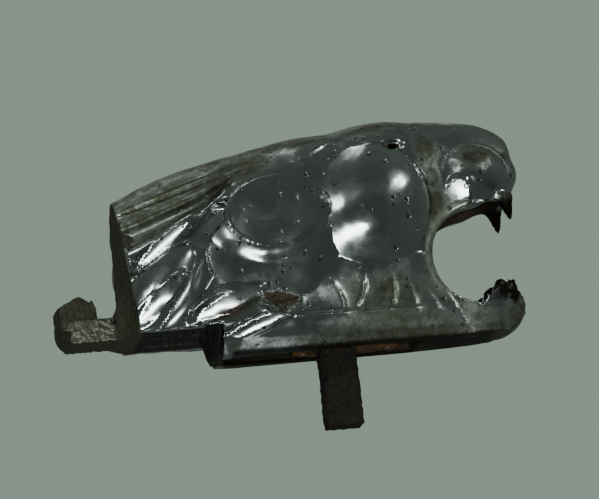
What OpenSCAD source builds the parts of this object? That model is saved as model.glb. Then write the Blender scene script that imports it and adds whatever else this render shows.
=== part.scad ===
// Roaring big-cat bonnet ornament: a hollow plated head over an unplated base frame
// with a rear hook, a centre web and a steel fixing post.
// Frame: X forward (the way the head faces), Z up, centre plane Y = 0.
// Origin: the fixing post's axis at the level of the front seat face.

/* [Head] */
// How far the nose stands ahead of the post axis
nose_x = 60.2; // [58:0.1:61]
// Height of the crown above the front seat face
crown_z = 68.8; // [67:0.1:70]
// Thickness of the plated wall
wall = 2.4; // [2:0.1:3]

/* [Mouth] */
// Height of the centre of the round gape
mouth_z = 24; // [23:0.1:25]
// Radius of the round gape
mouth_r = 14; // [13:0.1:14.5]
// Distance between the points of the two upper fangs
fang_spread = 24.4; // [22:0.1:26]

/* [Base] */
// Distance from the post axis back to the rear face
rear_x = 62.7; // [61:0.1:64]
// Height of the rear seat face above the front one
step_z = 8; // [7:0.1:9]
// Distance from the post axis back to the step
step_x = 35.8; // [34:0.1:37]
// Half of the width of the front seat
seat_half = 10.8; // [10:0.1:12]
// Thickness of the centre web
web_t = 3; // [2.4:0.1:3.4]

/* [Rear hook] */
// Distance from the post axis back to the end of the lug
lug_end_x = 82.6; // [82:0.1:84]
// Width of the lug
lug_w = 18; // [16:0.1:18]
// Height of the top of the lug
lug_top_z = 15; // [14:0.1:16]
// Height of the top of the hook's lip
lip_z = 22.6; // [21.5:0.1:23]

/* [Fixing post] */
// Width of the post along the ornament
post_w = 11; // [10:0.1:12]
// Thickness of the post across the ornament
post_t = 8.5; // [8:0.1:9]
// How far the post reaches below the front seat face
post_drop = 22.7; // [18:0.1:26]

/* [Hidden] */
// Thickness of the slices that the casting is lofted through
slice_t = 0.4;
// Clearance between pieces that are fitted together
gap = 0.1;
// Centre of the gape along the ornament, and the place of the fangs' points
mouth_x = 43.8;
fang_x = 54.6;
fang_tip_z = 34;
// Lens-shaped bridge: its centre, length, two faces and half width
bridge_x = 3;
bridge_len = 32.5;
bridge_z0 = 0.4;
bridge_z1 = 3.4;
bridge_half = seat_half - wall - gap;
// Rivets, and the cast cross bars that they hold the bridge to
rivet_x = [-9.8, 15.8];
rivet_r = 1.8;
rivet_head_h = 1.2;
bar_len = 5;
bar_half = 15.4;
bar_z1 = 8;
bar_ear_t = 3;
bar_ear_z = 17;
// Cross pin of the post, and the bridge's ears that carry it
pin_r = 2;
pin_z = 7.4;
ear_t = 2.8;
ear_len = 8;
ear_top_z = 11;
// Shoulder of the post, which seats on the bridge
shoulder = 1.4;
shoulder_h = 2.4;
// Web and its two pins
web_pin_r = 1.5;
web_rear_x = rear_x - 4.2;
web_top_z = 24;
web_low_z = 1;
web_front_x = 6.8;
web_pins_xz = [[-54.5, 17], [rivet_x[0], 13.5]];
cheek_t = 3;
// Frame: its rear plate, its slab and the two pockets in the slab's underside
plate_t = 4;
slab_t = 3.2;
pocket_x = [-57, -38.4];
pocket_in = web_t / 2 + 0.3;
pocket_out = 11.4;
// Frame screws, their bosses in the shell and the shelf that their heads sit under
screw_x = -47;
screw_y = 9.2;
screw_r = 1.7;
head_r = 3.2;
boss_r = 3.6;
boss_h = 12;
boss_z = 17.8;
shelf_z = 15;
// Fillet between the rear face and the lug
foot_len = 5;
foot_rise = 10;
foot_w = 26;

// Sections of the outside, from the rear face to the nose:
// [x, bottom z, bottom half width, z of the widest place, its half width, top z, top half width,
//  straightness of the upper flank]
rear_part = [
    [-rear_x, step_z, 18.8, 12, 19.4, 51.6, 5.0, 1.9],
    [-50, step_z, 19.9, 14, 20.8, 56.0, 5.4, 1.7],
    [-step_x, step_z, 20.8, 16, 22.0, 60.6, 5.8, 1.4]];
body_part = [
    [-step_x, 0, seat_half, 16, 22.0, 60.6, 5.8, 1.4],
    [-22, 0, seat_half, 24, 22.8, 63.6, 6.4, 1.2],
    [-8, 0, seat_half, 30, 22.8, 65.0, 7.0, 1.1],
    [4, 0, seat_half, 36, 23.0, 66.4, 8.5, 1.0],
    [14, 0, seat_half, 41, 22.4, crown_z - 0.2, 10.0, 1.0],
    [22, 0.2, seat_half - 0.2, 43, 20.0, crown_z, 10.0, 1.0]];
head_part = [
    [22, 0.2, seat_half - 0.2, 43, 20.0, crown_z, 10.0, 1.0],
    [29, 0.5, 10.2, 44, 17.4, 67.4, 9.5, 1.0],
    [38, 0.8, 9.8, 46, 16.8, 66.6, 8.5, 1.0],
    [46, 1.0, 9.6, 47, 15.8, 65.9, 7.5, 1.0],
    [52, 1.2, 8.6, 48, 14.4, 63.8, 6.0, 1.0],
    [57.0, 3.0, 6.6, 48, 11.4, 60.0, 4.6, 1.0],
    [nose_x - slice_t, 8.0, 4.0, 48.0, 7.5, 54.6, 3.6, 1.0]];

// Half widths of the base frame's slab at its rear end and at the step
slab_half = [rear_part[0][2] - wall - gap, rear_part[2][2] - wall - gap];

// One half of a section, from the bottom edge round to the top
function half_section(s, inset) = concat(
    [for (a = [0 : 15 : 75])
        [s[2] - inset + (s[4] - s[2]) * sin(a), s[3] - (s[3] - s[1]) * cos(a)]],
    [for (b = [0 : 10 : 90])
        [s[6] - 0.5 * inset + (s[4] - s[6] - 0.5 * inset) * pow(cos(b), s[7]),
         s[3] + (s[5] - inset - s[3]) * sin(b)]]);

function mirrored(h) = [for (i = [len(h) - 1 : -1 : 0]) [-h[i][0], h[i][1]]];

// A thin slice of the body at one section; drop carries it below the seat faces
module slice(s, inset = 0, drop = 0) {
    h = half_section(s, inset);
    low = drop > 0 ? [[h[0][0], h[0][1] - drop]] : [];
    side = concat(low, h);
    translate([s[0], 0, 0])
        rotate([90, 0, 90])
            linear_extrude(slice_t)
                polygon(concat(side, mirrored(side)));
}

module loft(sections, inset = 0, drop = 0) {
    for (i = [0 : len(sections) - 2])
        hull() {
            slice(sections[i], inset, drop);
            slice(sections[i + 1], inset, drop);
        }
}

// A plate in the XZ plane, centred on Y = 0
module side_plate(width, points) {
    rotate([90, 0, 0])
        linear_extrude(width, center = true)
            polygon(points);
}

module cross_hole(x, z, r, length) {
    translate([x, 0, z])
        rotate([90, 0, 0])
            cylinder(h = length, r = r, center = true, $fn = 32);
}

// The space inside the plated wall, shut off ahead by the solid head and chin
module cavity() {
    difference() {
        union() {
            translate([-slice_t / 2, 0, 0]) loft(rear_part, wall, 2);
            loft(body_part, wall, 2);
        }
        cross_hole(mouth_x, mouth_z, mouth_r + wall, 60);
        translate([-rear_x - 2, -40, step_z - 20])
            cube([rear_x - step_x + 2, 80, 18.5]);
    }
}

// Opens the jaws: a round gape, left standing at the lower teeth, and the way out to the front
module gape() {
    teeth = [[45.6, 4], [47, 12.6], [50.5, 15.8], [54, 15.8], [56.2, 11], [58, 4]];
    rotate([90, 0, 0])
        linear_extrude(60, center = true)
            difference() {
                union() {
                    translate([mouth_x, mouth_z]) circle(r = mouth_r, $fn = 72);
                    polygon([[40, 35], [50, 39.6], [nose_x + 5, 39.6], [nose_x + 5, 11], [46, 11]]);
                }
                polygon(teeth);
            }
}

// Hollow under the brow, behind the fangs
module palate() {
    hull() {
        translate([42, 0, 41]) sphere(r = 6.5, $fn = 32);
        translate([51, 0, 41]) sphere(r = 5, $fn = 32);
        translate([47, 0, 36]) sphere(r = 8, $fn = 32);
    }
}

module fang(side) {
    hull() {
        translate([fang_x - 0.4, side * (fang_spread / 2 - 2.2), 41])
            sphere(r = 2.6, $fn = 24);
        translate([fang_x, side * (fang_spread / 2 - 0.5), fang_tip_z + 0.6])
            sphere(r = 0.6, $fn = 24);
    }
}

// Flat-domed lock of the mane on each flank
module shoulder_lock(side) {
    translate([-15, side * 19.6, 42])
        rotate([0, -6, 0])
            scale([14.6, 4.2, 11.2])
                sphere(r = 1, $fn = 48);
}

module head_shell() {
    color([0.62, 0.66, 0.7])
        difference() {
            union() {
                difference() {
                    union() {
                        loft(rear_part);
                        loft(body_part);
                        loft(head_part);
                        for (side = [-1, 1]) shoulder_lock(side);
                    }
                    cavity();
                    gape();
                    palate();
                }
                for (side = [-1, 1]) fang(side);
                for (x = rivet_x)
                    translate([x - bar_len / 2, -bar_half, bridge_z1])
                        cube([bar_len, 2 * bar_half, bar_z1 - bridge_z1]);
                translate([rivet_x[0] - bar_len / 2, -web_t / 2 - bar_ear_t, bar_z1 - 1])
                    cube([bar_len, web_t + 2 * bar_ear_t, bar_ear_z - bar_z1 + 1]);
                for (side = [-1, 1]) screw_boss(side);
            }
            for (x = rivet_x)
                translate([x, 0, 0]) cylinder(h = 20, r = rivet_r, $fn = 32);
            for (side = [-1, 1])
                translate([screw_x, side * screw_y, 10])
                    cylinder(h = 16, r = screw_r, $fn = 32);
            translate([rivet_x[0] - bar_len, -web_t / 2 - gap, bar_z1])
                cube([2 * bar_len, web_t + 2 * gap, 20]);
            cross_hole(web_pins_xz[1][0], web_pins_xz[1][1], web_pin_r, 20);
        }
}

// Boss that hangs from the flank and takes one frame screw
module screw_boss(side) {
    web_reach = 8;
    translate([screw_x, side * screw_y, boss_z])
        cylinder(h = boss_h, r = boss_r, $fn = 32);
    translate([screw_x - screw_r, side > 0 ? screw_y : -screw_y - web_reach, boss_z])
        cube([2 * screw_r, web_reach, boss_h]);
}

module rear_plate() {
    translate([-rear_x, 0, 0])
        rotate([90, 0, 90])
            linear_extrude(plate_t)
                polygon(concat(half_section(rear_part[0], wall + gap),
                    mirrored(half_section(rear_part[0], wall + gap))));
}

module lug() {
    difference() {
        translate([-lug_end_x, -lug_w / 2, step_z])
            cube([lug_end_x - rear_x + 2, lug_w, lug_top_z - step_z]);
        for (side = [-1, 1])
            translate([-lug_end_x, side * lug_w / 2, 0])
                rotate([0, 0, 45])
                    cube([3.4, 3.4, 80], center = true);
        translate([-lug_end_x, 0, step_z])
            rotate([0, 45, 0])
                cube([4, 40, 4], center = true);
    }
    side_plate(lug_w - 2.4, [[-lug_end_x + 0.2, lug_top_z - 1], [-lug_end_x + 0.2, lug_top_z + 3.4],
        [-lug_end_x + 1.2, lug_top_z + 4.6], [-75.6, lip_z], [-74.4, lip_z - 0.8],
        [-73.8, lip_z - 1.6], [-71.4, lip_z - 2.8], [-71.0, lug_top_z + 2.4],
        [-71.8, lug_top_z - 1]]);
}

// Concave fillet between the rear face and the lug
module foot() {
    side_plate(foot_w, concat([[-rear_x + 1, step_z + 2], [-rear_x + 1, lug_top_z + foot_rise]],
        [for (a = [0 : 15 : 90])
            [-rear_x - foot_len * (1 - cos(a)), lug_top_z + foot_rise * (1 - sin(a))]],
        [[-rear_x - foot_len, step_z + 2]]));
}

// Block over a pocket that a frame screw draws up against its boss
module shelf(side) {
    width = 9.6;
    translate([screw_x - 5, side > 0 ? 4.4 : -4.4 - width, step_z + 1])
        cube([10, width, boss_z - 0.2 - step_z - 1]);
}

// Lug beside the web that carries one end of its rear pin
module cheek(side) {
    translate([-59, side > 0 ? web_t / 2 + gap : -web_t / 2 - gap - cheek_t, 12])
        cube([7.5, cheek_t, 9]);
}

module base_frame() {
    color([0.36, 0.34, 0.29])
        difference() {
            union() {
                rear_plate();
                lug();
                foot();
                translate([0, 0, step_z])
                    linear_extrude(slab_t)
                        polygon([[-rear_x, -slab_half[0]], [-rear_x, slab_half[0]],
                            [-step_x, slab_half[1]], [-step_x, -slab_half[1]]]);
                for (side = [-1, 1]) {
                    translate([-step_x, side > 0 ? 5 : -bridge_half, 0.2])
                        cube([3, bridge_half - 5, step_z + slab_t]);
                    shelf(side);
                    cheek(side);
                }
            }
            for (side = [-1, 1]) {
                translate([pocket_x[0], side > 0 ? pocket_in : -pocket_out, 0])
                    cube([pocket_x[1] - pocket_x[0], pocket_out - pocket_in, step_z + slab_t + 0.4]);
                translate([screw_x, side * screw_y, 0]) {
                    cylinder(h = shelf_z + 0.2, r = boss_r, $fn = 32);
                    cylinder(h = 40, r = screw_r, $fn = 32);
                }
            }
            translate([-rear_x + plate_t, -web_t / 2 - gap, 0])
                cube([40, web_t + 2 * gap, 40]);
            cross_hole(web_pins_xz[0][0], web_pins_xz[0][1], web_pin_r, 20);
        }
}

module centre_web() {
    color([0.33, 0.3, 0.26])
        difference() {
            side_plate(web_t, [[-web_rear_x, step_z - 0.3], [-step_x, step_z - 0.3],
                [-step_x, web_low_z], [rivet_x[0] - bar_len, web_low_z],
                [rivet_x[0] - bar_len, bar_z1 + 2], [-web_front_x, bar_z1 + 2],
                [-web_front_x, bar_ear_z], [-22, web_top_z], [-web_rear_x, web_top_z]]);
            for (p = web_pins_xz) cross_hole(p[0], p[1], web_pin_r, 20);
        }
}

module web_pins() {
    color([0.45, 0.4, 0.34])
        for (p = web_pins_xz) cross_hole(p[0], p[1], web_pin_r, web_t + 2 * cheek_t);
}

module post_bridge() {
    lens_r = (pow(bridge_len / 2, 2) + pow(bridge_half, 2)) / (2 * bridge_half);
    color([0.42, 0.27, 0.16])
        difference() {
            union() {
                translate([bridge_x, 0, bridge_z0])
                    intersection_for (side = [-1, 1])
                        translate([0, side * (lens_r - bridge_half), 0])
                            cylinder(h = bridge_z1 - bridge_z0, r = lens_r, $fn = 96);
                for (side = [-1, 1])
                    translate([-ear_len / 2, side > 0 ? post_t / 2 : -post_t / 2 - ear_t, bridge_z0])
                        cube([ear_len, ear_t, ear_top_z - bridge_z0]);
            }
            translate([-post_w / 2, -post_t / 2, -5]) cube([post_w, post_t, 40]);
            for (x = rivet_x)
                translate([x, 0, -5]) cylinder(h = 20, r = rivet_r, $fn = 32);
            cross_hole(0, pin_z, pin_r, 40);
        }
}

module mounting_post() {
    color([0.27, 0.17, 0.13])
        difference() {
            union() {
                translate([-post_w / 2, -post_t / 2, -post_drop])
                    cube([post_w, post_t, post_drop + ear_top_z]);
                translate([-post_w / 2 - shoulder, -post_t / 2, bridge_z1])
                    cube([post_w + 2 * shoulder, post_t, shoulder_h]);
            }
            cross_hole(0, pin_z, pin_r, 40);
        }
}

module post_pin() {
    color([0.5, 0.45, 0.4]) cross_hole(0, pin_z, pin_r, post_t + 2 * ear_t + 1.2);
}

module bridge_rivets() {
    color([0.4, 0.25, 0.16])
        for (x = rivet_x)
            translate([x, 0, 0]) {
                cylinder(h = bar_z1 + 1, r = rivet_r, $fn = 32);
                translate([0, 0, bar_z1]) cylinder(h = rivet_head_h, r = 1.6 * rivet_r, $fn = 32);
            }
}

module frame_screws() {
    color([0.5, 0.48, 0.44])
        for (side = [-1, 1])
            translate([screw_x, side * screw_y, 0]) {
                translate([0, 0, shelf_z - 1.6]) cylinder(h = 1.8, r = head_r, $fn = 32);
                translate([0, 0, shelf_z]) cylinder(h = 10, r = screw_r, $fn = 32);
            }
}

head_shell();
base_frame();
centre_web();
post_bridge();
mounting_post();
post_pin();
bridge_rivets();
web_pins();
frame_screws();
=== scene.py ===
"""Looks of a plated big-cat bonnet ornament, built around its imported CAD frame.

Each cast or rusty piece is one signed field, meshed on a grid and then drawn onto the field's exact
surface. Field lengths are in millimetres, with y the distance from the centre plane; every Blender
object is in metres.
"""
import math

import bpy
import numpy as np
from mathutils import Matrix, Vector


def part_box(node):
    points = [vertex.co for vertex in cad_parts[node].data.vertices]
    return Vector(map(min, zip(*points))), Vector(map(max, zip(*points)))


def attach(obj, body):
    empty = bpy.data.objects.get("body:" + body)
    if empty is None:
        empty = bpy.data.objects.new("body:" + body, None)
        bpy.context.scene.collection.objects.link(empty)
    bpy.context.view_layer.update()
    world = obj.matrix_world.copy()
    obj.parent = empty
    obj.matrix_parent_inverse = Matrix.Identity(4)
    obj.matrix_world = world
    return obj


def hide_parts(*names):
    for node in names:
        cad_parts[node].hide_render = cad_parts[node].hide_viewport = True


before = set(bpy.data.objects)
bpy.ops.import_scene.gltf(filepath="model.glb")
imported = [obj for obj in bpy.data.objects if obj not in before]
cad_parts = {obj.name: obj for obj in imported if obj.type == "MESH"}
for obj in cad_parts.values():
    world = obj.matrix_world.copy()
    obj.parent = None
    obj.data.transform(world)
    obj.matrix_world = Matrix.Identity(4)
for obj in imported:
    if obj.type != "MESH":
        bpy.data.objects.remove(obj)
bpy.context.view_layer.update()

import openvdb as vdb
from mathutils import Matrix, Vector

MM = 0.001


def node_mm(name):
    low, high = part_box(name)
    return np.array(low) / MM, np.array(high) / MM


SHELL_LO, SHELL_HI = node_mm("head_shell")
FRAME_LO, FRAME_HI = node_mm("base_frame")
POST_LO, POST_HI = node_mm("mounting_post")
BRIDGE_LO, BRIDGE_HI = node_mm("post_bridge")

# Places and lengths in millimetres; the first four come from the CAD's boxes
REAR_X = SHELL_LO[0]
NOSE_X = SHELL_HI[0]
CROWN_Z = SHELL_HI[2]
LUG_X = FRAME_LO[0]
STEP_Z = 8.0
STEP_X = -35.8
SEAT_HALF = 10.8
SEAT_SHARE = 0.95
MOUTH_X, MOUTH_Z, MOUTH_R = 43.8, 24.0, 14.0
WALL = 2.4
EDGE_WALL = 0.9
REAR_FOOT = 1.9
REAR_LEAN = 0.042
WIDEST_Y = 23.5


# ---------------------------------------------------------------- camera

LENS = 600.0
SENSOR = 36.0
CLIP = (0.01, 60)
VIEW_WIDTH = 177.9 * MM
# Where the middle of the picture lies along its own right and up, in millimetres
VIEW_CENTRE = (-10.84, 30.8)
# Unit vectors of the picture's right and up, for azimuth -9.5 and elevation -10, with a roll of
# 6.5 degrees
RIGHT = Vector((3.3103, -0.486, -0.3755)).normalized()
UP = Vector((0.2809, -0.636, 3.2951)).normalized()
UP = (UP - RIGHT * UP.dot(RIGHT)).normalized()
BACK = RIGHT.cross(UP)


def make_camera():
    target = (RIGHT * VIEW_CENTRE[0] + UP * VIEW_CENTRE[1]) * MM
    distance = LENS * VIEW_WIDTH / SENSOR
    data = bpy.data.cameras.new("camera")
    data.lens = LENS
    data.sensor_width = SENSOR
    data.clip_start, data.clip_end = CLIP
    camera = bpy.data.objects.new("camera", data)
    rotation = Matrix((RIGHT, UP, BACK)).transposed().to_4x4()
    camera.matrix_world = Matrix.Translation(target + BACK * distance) @ rotation
    bpy.context.scene.collection.objects.link(camera)
    bpy.context.scene.camera = camera


make_camera()


# ---------------------------------------------------------------- field helpers

def curve(x, knots):
    """A smooth curve through (x, value) knots, level beyond its ends."""
    kx = np.array([k[0] for k in knots], float)
    ky = np.array([k[1] for k in knots], float)
    slope = np.gradient(ky, kx)
    x = np.clip(x, kx[0], kx[-1])
    i = np.clip(np.searchsorted(kx, x, side="right") - 1, 0, len(kx) - 2)
    h = kx[i + 1] - kx[i]
    t = (x - kx[i]) / h
    return (
        ky[i] * (1 + 2 * t) * (1 - t) ** 2
        + slope[i] * h * t * (1 - t) ** 2
        + ky[i + 1] * t * t * (3 - 2 * t)
        + slope[i + 1] * h * t * t * (t - 1)
    )


def smin(a, b, k):
    """The smaller of two fields, blended where they differ by less than k."""
    h = np.clip(0.5 + 0.5 * (b - a) / k, 0, 1)
    return b + (a - b) * h - k * h * (1 - h)


def smax(a, b, k):
    """The larger of two fields, blended where they differ by less than k."""
    return -smin(-a, -b, k)


def step(t):
    """0 up to t = 0, rising smoothly to 1 at t = 1."""
    t = np.clip(t, 0, 1)
    return t * t * (3 - 2 * t)


def bump(t):
    """1 at t = 0, falling smoothly to 0 at t = -1 and 1."""
    return step(1 - np.abs(t))


def oval(x, z, cx, cz, a, b, turn=0.0):
    """0 at the oval's centre, 1 on its rim; turn is in degrees, nose up."""
    c, s = math.cos(math.radians(turn)), math.sin(math.radians(turn))
    u = (x - cx) * c + (z - cz) * s
    v = -(x - cx) * s + (z - cz) * c
    return np.sqrt((u / a) ** 2 + (v / b) ** 2)


def ellipsoid(x, y, z, centre, radii):
    """Nearly the distance from an ellipsoid with its axes along x, y and z."""
    px, py, pz = x - centre[0], y - centre[1], z - centre[2]
    k0 = np.sqrt((px / radii[0]) ** 2 + (py / radii[1]) ** 2 + (pz / radii[2]) ** 2) + 1e-6
    k1 = np.sqrt((px / radii[0] ** 2) ** 2 + (py / radii[1] ** 2) ** 2 + (pz / radii[2] ** 2) ** 2)
    return k0 * (k0 - 1) / (k1 + 1e-6)


def block(x, y, z, low, high, r):
    """A box with rounded edges."""
    c = [(a + b) / 2 for a, b in zip(low, high)]
    h = [(b - a) / 2 - r for a, b in zip(low, high)]
    q = [np.abs(p - pc) - ph for p, pc, ph in zip((x, y, z), c, h)]
    outside = np.sqrt(sum(np.maximum(v, 0) ** 2 for v in q))
    return outside + np.minimum(np.maximum(np.maximum(q[0], q[1]), q[2]), 0) - r


def dome(rho, height, power=0.5, rim=0.0):
    """A raised dome: rim is its height at the edge, height is what it gains to the middle."""
    inside = np.clip(1 - rho * rho, 0, 1) ** power
    return np.where(rho < 1, rim + height * inside, -24 * (rho - 1))


def ripple(x, y, z, size):
    """Smooth, fixed unevenness between about -1 and 1, with features of the given size."""
    k = 2 * math.pi / size
    a = np.sin(k * (x + 0.31 * y) + 1.7 * np.sin(0.53 * k * (z - 0.4 * x)))
    b = np.sin(k * (0.83 * z - 0.47 * x) + 1.3 * np.sin(0.61 * k * (y + 0.5 * x)) + 2.1)
    c = np.sin(k * (0.9 * y + 0.37 * z) + 1.9 * np.sin(0.47 * k * (x + 0.3 * z)) + 0.6)
    return (a * b + b * c + c * a) / 1.6


# ---------------------------------------------------------------- plated head: plain body

# The body's sections, as lines over x: half width, height of the widest place, crown, and the power
# of the curve above the widest place. The seat's half width is at z = 0.
HALF_WIDTH = [(-64, 18.8), (-50, 20.2), (-36, 21.4), (-22, 21.0), (-8, 20.0), (4, 19.2),
              (14, 18.2), (22, 16.8), (30, 15.0), (38, 13.4), (46, 12.0), (54, 10.0)]
WIDEST_Z = [(-64, 11), (-50, 13), (-36, 17), (-22, 24), (-8, 29), (4, 33), (14, 36), (22, 38),
            (30, 40), (54, 40)]
CROWN = [(-64, 50.0), (-47, 56.9), (-34, 60.2), (-20.8, 62.8), (-6.5, 65.4), (5, 66.2),
         (14, 67.9), (22, 68.2), (30, 67.0), (38, 65.8), (46, 64.0), (54, 58.0)]
UPPER_POWER = [(-64, 1.62), (-50, 1.66), (-36, 1.72), (-22, 1.86), (-8, 1.95), (4, 2.0),
               (14, 2.1), (22, 2.2), (38, 2.2)]
LOWER_POWER = 2.2


def section(x, z):
    """Half width, height of the widest place, and reach and power of the curve over or under it."""
    w = curve(x, HALF_WIDTH)
    zm = curve(x, WIDEST_Z)
    below = zm / (1 - np.minimum(SEAT_HALF / w, SEAT_SHARE) ** LOWER_POWER) ** (1 / LOWER_POWER)
    reach = np.where(z > zm, curve(x, CROWN) - zm, below)
    return w, zm, reach, np.where(z > zm, curve(x, UPPER_POWER), LOWER_POWER)


def rounded(y, z, w, zm, reach, n):
    """Field of a section that is w wide at zm, with its own reach and power."""
    rho = ((y / w) ** n + (np.abs(z - zm) / reach) ** n) ** (1 / n) + 1e-6
    r = np.sqrt(y * y + (z - zm) ** 2)
    return r - r / rho


def body(x, y, z):
    """The head without mane or face."""
    return rounded(y, z, *section(x, z))


def half_width(x, z):
    """The plain body's half width at a place on the side view."""
    w, zm, reach, n = section(x, z)
    return w * np.clip(1 - (np.abs(z - zm) / reach) ** n, 0, 1) ** (1 / n)


def mouth_ring(x, z):
    """Distance outside the mouth's round back, on the side view."""
    return np.sqrt((x - MOUTH_X) ** 2 + (z - MOUTH_Z) ** 2) - MOUTH_R


def rear_face(z):
    """Where the leaning rear face stands."""
    return REAR_X + REAR_FOOT - (z - STEP_Z) * REAR_LEAN


def between(x, z, upper, lower):
    """0 on the upper line, 1 on the lower one, both given as knots of z over x."""
    zu, zl = curve(x, upper), curve(x, lower)
    return (zu - z) / np.maximum(zu - zl, 0.2)


# ---------------------------------------------------------------- plated head: mane and locks

# Rear locks from the spine down: upper line, lower line, height, and how near to its lower
# line each one crests (1 is even)
SPINE = [(-66, 53.0), (-50, 58.2), (-36, 62), (-22, 65), (-6, 68)]
CREST = [(-66, 48.2), (-56, 51.6), (-46, 54.8), (-36, 57.6), (-24, 60.6), (-8, 63.4)]
UPPER = [(-66, 44.2), (-56, 46.8), (-46, 49.6), (-36, 52.6), (-26, 56.0), (-10, 60.5)]
RIDGE_A = [(-66, 37.4), (-58, 39.6), (-48, 43.2), (-40, 46.2), (-32, 50.2), (-24, 55.4)]
POCKET = [(-66, 33.0), (-60, 34.6), (-50, 38.6), (-42, 42.2), (-36, 45.4), (-30, 50.6)]
RIDGE_B = [(-66, 22.6), (-61, 26.2), (-53, 29.0), (-46, 32.9), (-41, 36.4), (-35, 43.5)]
LOCKS = [(SPINE, CREST, 1.1, 1.0), (CREST, UPPER, 1.7, 1.4), (UPPER, RIDGE_A, 2.7, 1.7),
         (RIDGE_A, POCKET, -1.5, 1.0), (POCKET, RIDGE_B, 4.0, 0.85)]


def rear_locks(x, z):
    """Long locks that run down the neck from the spine; they fade out toward the lobe."""
    d = np.zeros(np.broadcast(x, z).shape)
    fade = step((-23 - x) / 12)
    for upper, lower, height, lean in LOCKS:
        s = between(x, z, upper, lower)
        swell = np.sin(np.pi * np.clip(s, 0, 1) ** lean) * height
        d = np.where((s > 0) & (s < 1), swell * fade, d)
    return d


# Ovals on the side view: centre x and z, half length, half height, and turn in degrees
FIRST_TUFT = (-53.0, 20.4, 8.2, 17.0, -36)
SECOND_TUFT = (-45.6, 17.0, 3.4, 15.4, -36)
TUFT_HOLLOW = (-38.6, 26.0, 2.6, 9.6, -30)
CRESCENT = (-18.6, 28.6, 19.6, 15.0, 3)
MEDALLION = (-15.8, 40.9, 15.9, 11.6, 6)
GREAT_LOBE = (13.2, 40.0, 17.2, 20.2, -8)
FAN_FIELD = (14, 14, 25, 13.5)

# The leaf-shaped lock: its upper edge, middle ridge and lower edge
LEAF_TOP = [(-47, 10.6), (-43, 14.8), (-37, 18.8), (-31, 20.0), (-26, 18.2), (-20, 14.0),
            (-14, 9.2)]
LEAF_MID = [(-47, 8.6), (-43, 9.4), (-37, 11.6), (-31, 13.6), (-26, 14.2), (-20, 12.0), (-14, 9.0)]
LEAF_LOW = [(-47, 6.0), (-40, 6.2), (-34, 6.0), (-29, 4.9), (-23, 6.2), (-18, 7.7), (-14, 9.0)]
LEAF_REAR, LEAF_FRONT = -47, -13.6

# Lower edge of the band over the lobe
BAND_LOW = [(-14, 54.0), (-4, 56.6), (2, 60.0), (10, 62.8), (18, 64.0), (26, 61.5), (32, 55)]
# Relief that no other relief is below
HIDDEN = -9


def leaf_face(x, z, d, upper, lower, lean, rise, swell):
    """One long face of the leaf-shaped lock, between two of its lines."""
    s = between(x, z, upper, lower)
    within = step((x - LEAF_REAR) / 3) * step((LEAF_FRONT - x) / 2)
    height = rise + np.sin(np.pi * np.clip(s, 0, 1) ** lean) * swell
    return np.where((s > 0) & (s < 1) & (within > 0), np.maximum(d, height * within), d)


def tufts(x, z, d):
    """The two pointed tufts low at the rear and the leaf-shaped lock ahead of them."""
    fold = np.clip((x - FIRST_TUFT[0]) * 0.81 - (z - FIRST_TUFT[1]) * 0.59, -8, 8)
    first = dome(oval(x, z, *FIRST_TUFT), 3.9, 0.6) - 0.20 * np.maximum(fold, 0) ** 1.2
    d = np.maximum(d, first)
    d = np.maximum(d, dome(oval(x, z, *SECOND_TUFT), 1.5, 0.7))
    d = d - 1.5 * step(1.25 - oval(x, z, *TUFT_HOLLOW))
    d = leaf_face(x, z, d, LEAF_TOP, LEAF_MID, 0.6, 0, 3.4)
    return leaf_face(x, z, d, LEAF_MID, LEAF_LOW, 1.6, 0.5, 2.6)


def shoulder(x, z, d):
    """Crescent lock with the flat-domed lock that overlaps it."""
    under = oval(x, z, *CRESCENT)
    top = oval(x, z, *MEDALLION)
    fillet = 1.3 * step((1.42 - top) / 0.42)
    d = np.maximum(d, np.where(under < 1, dome(under, 0.9, 0.8, 0.4) + fillet, HIDDEN))
    return np.maximum(d, dome(top, 0.8, 1.0, 2.4) + 0.2 * bump((top - 0.955) / 0.05))


def great_lobe(x, z, d):
    """Great round lobe of the mane, with a raised line round its front and a band over its top."""
    lobe = oval(x, z, *GREAT_LOBE)
    crisp = step((x - 6) / 12) * step((z - 26) / 14)
    swell = np.clip(1 - lobe * lobe, 0, 1)
    rise = (4.7 * swell ** 1.2) * (1 - crisp) + (0.5 + 4.8 * swell ** 0.55) * crisp
    d = np.maximum(d, np.where(lobe < 1, rise, HIDDEN))
    front = step((x - 12) / 5) * step((z - 34) / 6)
    d = d + 1.0 * bump((lobe - 1.0) / 0.055) * front
    band = step((z - curve(x, BAND_LOW)) / 1.8) * step((x + 12) / 6) * step((30 - x) / 6)
    return d + 0.8 * band


# Grooves between the small locks of the fan: (foot x, foot z), (head x, head z)
FAN = [((1.2, 6.5), (-2.0, 19.5)), ((4.0, 9.0), (8.2, 22.4)), ((15.2, 8.6), (16.0, 21.0)),
       ((23.0, 4.6), (20.4, 19.0)), ((31.0, 4.4), (25.0, 16.4)), ((37.6, 1.5), (30.4, 17.0))]
FAN_LOCK = 7.5


def fan(x, z, d):
    """Fan of small locks below the lobe."""
    d = np.maximum(d, dome(oval(x, z, *FAN_FIELD), 1.1, 0.6))
    groove = np.zeros(np.broadcast(x, z).shape)
    for (fx, fz), (hx, hz) in FAN:
        t = (z - fz) / (hz - fz)
        bend = 1.3 * np.sin(np.pi * np.clip(t, 0, 1))
        off = x - (fx + (hx - fx) * t + bend)
        on = step((t + 0.05) / 0.3) * step((1.0 - t) / 0.5)
        groove = np.maximum(groove, bump(off / 1.2) * on)
        swell = np.clip(off / FAN_LOCK, 0, 1)
        d = d + np.where((off > 0) & (off < FAN_LOCK), 0.55 * np.sin(np.pi * swell ** 0.6), 0) * on
    return d - 0.28 * groove


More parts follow.
